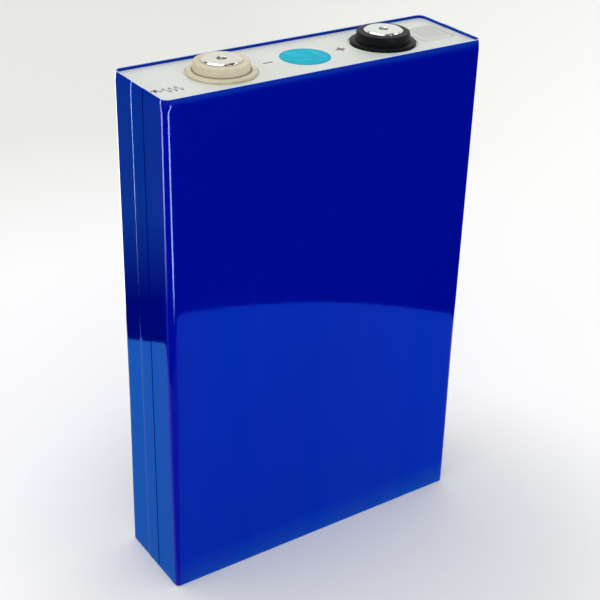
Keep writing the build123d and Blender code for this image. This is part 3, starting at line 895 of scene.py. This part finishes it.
def build_floor():
    """A pale floor with painted shade: softly darker round the cell's foot and far away at the negative
    side.
    """
    floor = ring_mesh("floor", [0.0005, 0.2, 0.5, 1.0, 3.0, 10.0, 40.0], 64)
    look = Look("floor_paper", roughness=0.9, specular_ior_level=0.0)
    shade_from, shade_to, shade_lean = 0.085, 0.14, 0.25
    far_from, far_full = 0.25, 0.45
    sunny_from, sunny_full = 0.55, 0.92
    distance = look.radius_from(0.0)
    _, y, _ = look.xyz(look.place)
    # Painted shadow round the cell's foot, reaching further in front.
    leaning = look.math("ADD", distance, look.product(y, shade_lean))
    lit = look.rescale(leaning, 0, 1, shade_from, shade_to)
    near = look.blend(lit, SHADED_PAPER, NEAR_PAPER)
    # Painted light far away: brighter towards the positive end, dimmer towards the negative end.
    facing_sun = towards(look, azimuth_of(look), SUNNY_AZIMUTH)
    sunny = look.rescale(facing_sun, 0, 1, sunny_from, sunny_full)
    far = look.blend(sunny, SHADY_FAR_PAPER, SUNNY_PAPER)
    painted_shade_and_light = look.blend(look.rescale(distance, 0, 1, far_from, far_full), near, far)
    fibres = look.rescale(look.noise(1.2 * MM, 4), 0, 0.02)
    look.set("Base Color", look.blend(fibres, painted_shade_and_light, PAPER_FIBRE))
    floor.data.materials.append(look.material)


def reflection_card(name, inner, outer, colour, radiance):
    """A flat ring just above the floor that only glossy reflections see, and only from above."""
    card = ring_mesh(name, [inner, outer], 180, CARD_HEIGHT)
    look = Look(f"{name}_light")
    glow = look.node("ShaderNodeEmission", {"Color": colour(look), "Strength": radiance(look)})
    look.feed(look.surface, glow.outputs["Emission"])
    card.data.materials.append(look.material)
    card.visible_camera = False
    card.visible_diffuse = False
    card.visible_transmission = False
    card.visible_volume_scatter = False
    card.visible_shadow = False


def ahead(look, place_y):
    """1 in front of the cell's front face, 0 behind it."""
    return look.rescale(place_y, 1, 0, cad_low.y - 12 * MM, cad_low.y)


def beyond(look, place_x):
    """1 past the cell's negative end, 0 along its length."""
    return look.rescale(place_x, 1, 0, cad_low.x, cad_low.x + 10 * MM)


def turntable_tint(look):
    """The turntable in front of the cell is lit blue by it."""
    blue_lit = (0.4, 0.42, 1.0)
    _, y, _ = look.xyz(look.place)
    return look.blend(ahead(look, y), WHITE, blue_lit)


def turntable_glow(look):
    """Bright in front, dimmer at the negative end, and shaded where only the near corner mirrors it."""
    near_level, near_radius, far_radius = 0.72, 0.03, 0.19
    end_level, corner_level = 0.62, 0.75
    x, y, _ = look.xyz(look.place)
    front, end = ahead(look, y), beyond(look, x)
    near_cell = look.rescale(look.radius_from(0.0), near_level, 1.0, near_radius, far_radius)
    dimmer = look.rescale(end, 1.0, end_level)
    shaded = look.rescale(look.product(front, end), 1.0, corner_level)
    return look.product(near_cell, dimmer, shaded)


def surround_tint(look):
    """The light from beyond the turntable is white."""
    return WHITE


def strip(look, azimuth, middle, half_width):
    """1 within half_width degrees of middle, fading out over the next half_width."""
    away = look.math("ABSOLUTE", look.math("SUBTRACT", azimuth, middle))
    return look.rescale(away, 1.0, 0.0, half_width, 2 * half_width)


def fold_strips(look, distance):
    """(azimuth, half width, radiance) of the strips that draw the glints along the cell's two corner
    folds and its flap. The corner strips swing round with distance, to keep their glints on the folds
    up to the shoulder."""
    swing_from, swing_full = 0.62, 1.1
    swing = look.rescale(distance, 0.0, 1.0, swing_from, swing_full)
    front_fold = look.math("ADD", FRONT_FOLD_AZIMUTH, look.product(swing, FRONT_FOLD_SWING))
    side_fold = look.math("SUBTRACT", SIDE_FOLD_AZIMUTH, look.product(swing, SIDE_FOLD_SWING))
    front_radiance = look.rescale(distance, 0.0, 24.0, 0.24, 0.30)
    side_radiance = look.rescale(distance, 0.3, 12.0, 0.28, 0.45)
    return (
        (front_fold, 4.5, front_radiance),
        (side_fold, 6.0, side_radiance),
        (FLAP_FOLD_AZIMUTH, 5.0, 9.0),
    )


def surround_glow(look):
    """Dark round the turntable, with a dim room behind the cell, a wall far away and bright strips,
    which are louvred against low views."""
    room_level, room_from, room_full = 0.22, 0.25, 0.36
    wall_level, wall_from, wall_full = 0.45, 0.95, 2.4
    shallow, steep = 0.11, 0.16
    azimuth = azimuth_of(look)
    distance = look.radius_from(0.0)
    behind = strip(look, azimuth, ROOM_AZIMUTH, ROOM_HALF_WIDTH)
    elsewhere = look.math("SUBTRACT", 1.0, behind)
    room = look.product(behind, look.rescale(distance, 0.0, room_level, room_from, room_full))
    wall = look.product(elsewhere, look.rescale(distance, 0.0, wall_level, wall_from, wall_full))
    total = look.math("ADD", room, wall)
    _, _, steepness = look.xyz(look.node("ShaderNodeNewGeometry").outputs["Incoming"])
    louvre = look.rescale(steepness, 0, 1, shallow, steep)
    for middle, half_width, radiance in fold_strips(look, distance):
        light = look.product(strip(look, azimuth, middle, half_width), radiance, louvre)
        total = look.math("ADD", total, light)
    return total


def mirrored_room(nodes, sideways, inward, upward):
    """What mirrors see: bright walls, with dark and bright patches overhead and behind the camera
    that give the turned metal its contrast."""
    dark_patch, bright_patch, patch_size = 0.02, 1.5, 0.30
    patch_from, patch_full = 0.52, 0.54
    low_wall, high_wall = 1.0, 0.85
    overhead_from, overhead_full = 0.74, 0.82
    camera_side_from, camera_side_full = -0.70, -0.55
    walls = nodes.rescale(upward, low_wall, high_wall, 0.0, 0.7)
    pattern = nodes.noise(patch_size, 1)
    patches = nodes.rescale(pattern, dark_patch, bright_patch, patch_from, patch_full)
    from_left = nodes.product(sideways, math.sin(CAMERA_AZIMUTH))
    from_front = nodes.product(inward, math.cos(CAMERA_AZIMUTH))
    forward = nodes.math("SUBTRACT", from_left, from_front)
    camera_side = nodes.rescale(forward, 0, 1, camera_side_from, camera_side_full)
    overhead = nodes.rescale(upward, 0, 1, overhead_from, overhead_full)
    cluttered = nodes.math("MAXIMUM", overhead, camera_side)
    plain = nodes.product(walls, nodes.math("SUBTRACT", 1.0, cluttered))
    return nodes.math("ADD", plain, nodes.product(patches, cluttered))


def build_world():
    """An even white room for diffuse light, a plain backdrop for the camera, and a room with some
    contrast for mirrors."""
    world = bpy.data.worlds.new("studio")
    world.use_nodes = True
    tree = world.node_tree
    direction = tree.nodes.new("ShaderNodeTexCoord").outputs["Generated"]
    nodes = Nodes(tree, direction)
    sideways, inward, upward = nodes.xyz(direction)
    rays = nodes.node("ShaderNodeLightPath").outputs
    glossy = rays["Is Glossy Ray"]
    room = nodes.rescale(upward, 1.3, 0.7)
    correction = nodes.product(rays["Is Camera Ray"], nodes.math("SUBTRACT", BACKDROP, room))
    direct = nodes.math("ADD", room, correction)
    unmirrored = nodes.product(direct, nodes.math("SUBTRACT", 1.0, glossy))
    mirrored = nodes.product(mirrored_room(nodes, sideways, inward, upward), glossy)
    sky = tree.nodes["Background"]
    nodes.feed(sky.inputs["Color"], WHITE)
    nodes.feed(sky.inputs["Strength"], nodes.math("ADD", unmirrored, mirrored))
    bpy.context.scene.world = world


def add_softbox(name, place, size, power):
    """A square area light aimed at the cell's middle."""
    light = bpy.data.lights.new(name, "AREA")
    light.shape = "RECTANGLE"
    light.size = light.size_y = size
    light.energy = power
    lamp = bpy.data.objects.new(name, light)
    lamp.location = place
    lamp.rotation_euler = (MIDDLE - Vector(place)).to_track_quat("-Z", "Y").to_euler()
    bpy.context.scene.collection.objects.link(lamp)


def build_studio():
    """Everything round the cell: world, floor, reflection cards and two softboxes."""
    bpy.context.scene.view_settings.view_transform = "Standard"
    build_world()
    build_floor()
    reflection_card("turntable_reflection", 2 * MM, TURNTABLE, turntable_tint, turntable_glow)
    reflection_card("surround_reflection", TURNTABLE, SURROUND, surround_tint, surround_glow)
    add_softbox("softbox_top", (-0.25, 0.35, 1.3), 0.9, 2.5)
    add_softbox("softbox_front", (-0.7, -1.1, 0.8), 0.8, 2.0)


# ---- Camera --------------------------------------------------------------
def build_camera():
    """A camera at the photographer's place, looking just off the cell's middle."""
    level = math.cos(CAMERA_ELEVATION)
    back_x, back_y = math.sin(CAMERA_AZIMUTH) * level, -math.cos(CAMERA_AZIMUTH) * level
    back = Vector((back_x, back_y, math.sin(CAMERA_ELEVATION)))
    right = Vector((0, 0, 1)).cross(back).normalized()
    up = back.cross(right)
    camera = bpy.data.objects.new("camera", bpy.data.cameras.new("camera"))
    camera.location = MIDDLE + back * CAMERA_DISTANCE + right * CAMERA_ASIDE + up * CAMERA_ABOVE
    turned_right = right * math.cos(CAMERA_ROLL) + up * math.sin(CAMERA_ROLL)
    turned_up = up * math.cos(CAMERA_ROLL) - right * math.sin(CAMERA_ROLL)
    camera.rotation_euler = Matrix((turned_right, turned_up, back)).transposed().to_euler()
    camera.data.sensor_width = CAMERA_SENSOR
    camera.data.lens = CAMERA_LENS
    camera.data.clip_start, camera.data.clip_end = 0.01, 100.0
    bpy.context.scene.collection.objects.link(camera)
    bpy.context.scene.camera = camera


# ---- Carried-over CAD nodes ----------------------------------------------
def dress(look, *nodes):
    """Gives CAD nodes a material."""
    for node in nodes:
        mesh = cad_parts[node].data
        mesh.materials.clear()
        mesh.materials.append(look)


def dress_outside():
    """Materials for the CAD nodes that show: lid, can and label."""
    lid_metal = matt_metal_look("lid_metal", (0.735, 0.76, 0.715), 0.5, metallic=0.35)
    dress(lid_metal, "lid_plate", "fill_port_cap")
    dress(matt_metal_look("can_metal", (0.80, 0.81, 0.82), 0.35, grain=(1, 1, 0.05)), "can")
    dress(label_look((0.60, 0.61, 0.56), (0.50, 0.505, 0.475), (0.13, 0.13, 0.12)), "code_label")


def dress_inside():
    """Materials for the CAD nodes that the can and lid hide."""
    aluminium = matt_metal_look("conductor_aluminium", (0.83, 0.84, 0.85), 0.28)
    copper = matt_metal_look("copper", (0.80, 0.42, 0.28), 0.3)
    dress(aluminium, "positive_connector_plate", "positive_foil_tabs", "positive_post")
    dress(copper, "negative_post", "negative_connector_plate", "negative_foil_tabs")
    dress(matt_metal_look("burst_metal", (0.82, 0.82, 0.82), 0.22), "vent_disc")
    white = moulded_look("white_plastic", (0.82, 0.82, 0.79), (0.76, 0.76, 0.72), 0.5)
    dress(white, "negative_lower_insulator", "positive_lower_insulator", "floor_pad")
    dress(moulded_look("plug_rubber", (0.04, 0.04, 0.04), (0.02, 0.02, 0.02), 0.65), "fill_port_plug")
    gasket = moulded_look("gasket_rubber", (0.13, 0.08, 0.05), (0.08, 0.05, 0.03), 0.55)
    dress(gasket, "negative_seal_gasket", "positive_seal_gasket")
    dress(sheet_look("weld_tape", (0.62, 0.33, 0.05), (0.50, 0.24, 0.03), 0.25), "weld_cover_tapes")
    cathode = coating_look("cathode_coating", (0.055, 0.055, 0.06), 0.12 * MM)
    dress(cathode, "front_roll_cathode", "back_roll_cathode")
    anode = coating_look("anode_coating", (0.022, 0.022, 0.024), 0.2 * MM)
    dress(anode, "front_roll_anode", "back_roll_anode")
    separator = sheet_look("separator_film", (0.86, 0.86, 0.86), (0.76, 0.76, 0.77), 0.6)
    dress(separator, "front_roll_separators", "back_roll_separators")
    dress(sheet_look("bag_film", (0.74, 0.76, 0.78), (0.62, 0.64, 0.68), 0.3), "inner_bag")


# ---- Assemble ------------------------------------------------------------
def build_terminals():
    """A collar and a weld pad at each end."""
    negative_x, positive_x = middle_x("negative_collar"), middle_x("positive_collar")
    pale, tan = (0.66, 0.605, 0.45), (0.58, 0.50, 0.355)
    beige = moulded_look("natural_plastic", pale, tan, 0.5, negative_x)
    dark, darker = (0.0055, 0.006, 0.008), (0.0035, 0.0045, 0.0055)
    black = moulded_look("black_plastic", dark, darker, 0.40, positive_x, specular_ior_level=0.12)
    build_collar("negative_collar_moulding", "negative_collar", beige)
    build_collar("positive_collar_moulding", "positive_collar", black)
    build_pad("negative_weld_pad", "negative_terminal_pad", (0.78, 0.755, 0.68))
    build_pad("positive_weld_pad", "positive_terminal_pad", (0.80, 0.82, 0.775))


def build_marks():
    """The printed minus and plus, and the pen strokes."""
    dark_ink = ink_look("dark_ink", (0.06, 0.06, 0.055))
    red_ink = ink_look("red_ink", (0.11, 0.012, 0.02))
    pen_ink = ink_look("pen_ink", (0.10, 0.10, 0.10))
    minus = bar_outline(3.9 * MM, 0.8 * MM)
    plus = plus_outline(3.7 * MM, 0.95 * MM)
    minus_x, plus_x, marks_y = -14.8 * MM, 15.5 * MM, 0.8 * MM
    build_print("negative_mark", minus, minus_x, marks_y, dark_ink)
    build_print("positive_mark", plus, plus_x, marks_y, red_ink)
    build_pen_strokes(pen_ink)


build_film()
build_weld_bead()
build_vent_cover()
build_terminals()
build_marks()
dress_outside()
dress_inside()
build_studio()
build_camera()
